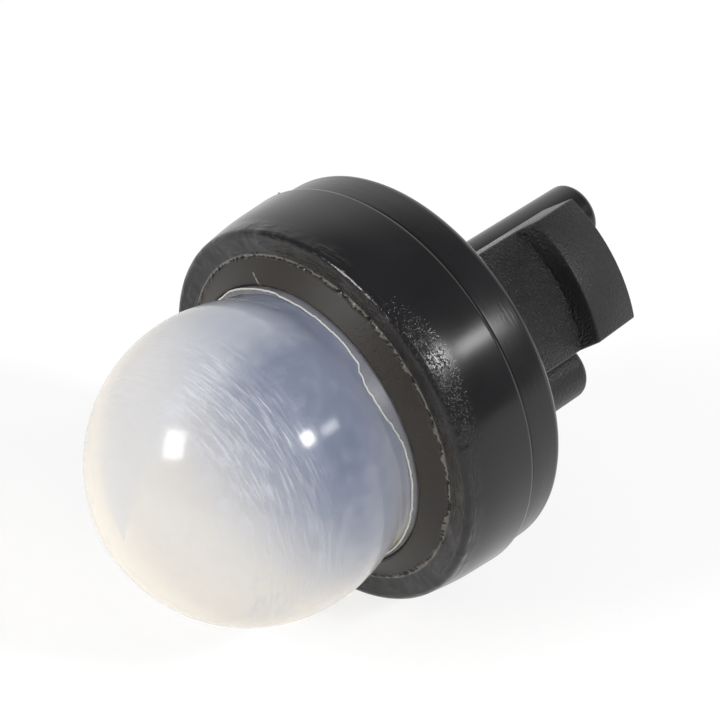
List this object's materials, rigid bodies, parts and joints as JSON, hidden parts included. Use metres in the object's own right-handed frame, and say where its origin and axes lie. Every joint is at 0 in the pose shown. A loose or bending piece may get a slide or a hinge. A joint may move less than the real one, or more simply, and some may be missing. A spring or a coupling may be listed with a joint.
{
  "type": "snap-in primer bulb",
  "caption": "Milky squeezable dome bulb held in a black ring on a black base with hooked snap-in legs and a long and a short hose nipple.",
  "frame": {"origin": "centre of the base's rear face, which meets the panel", "axes": "+Z along the bulb's axis from the panel towards the dome, the legs on -X and +X, the long nipple on -Y and the short one on +Y"},
  "size_m": [0.0222, 0.0222, 0.0347],
  "materials": {
    "black_plastic": "black injection-moulded plastic, glossy on the ring, spark-eroded grain on the legs",
    "milky_plastic": "milky translucent flexible plastic with fine scuffs",
    "valve_rubber": "smooth black rubber"
  },
  "bodies": {
    "root": {"base": "black_plastic", "retaining_ring": "black_plastic", "bulb": "milky_plastic", "check_valve": "valve_rubber"}
  },
  "joints": []
}
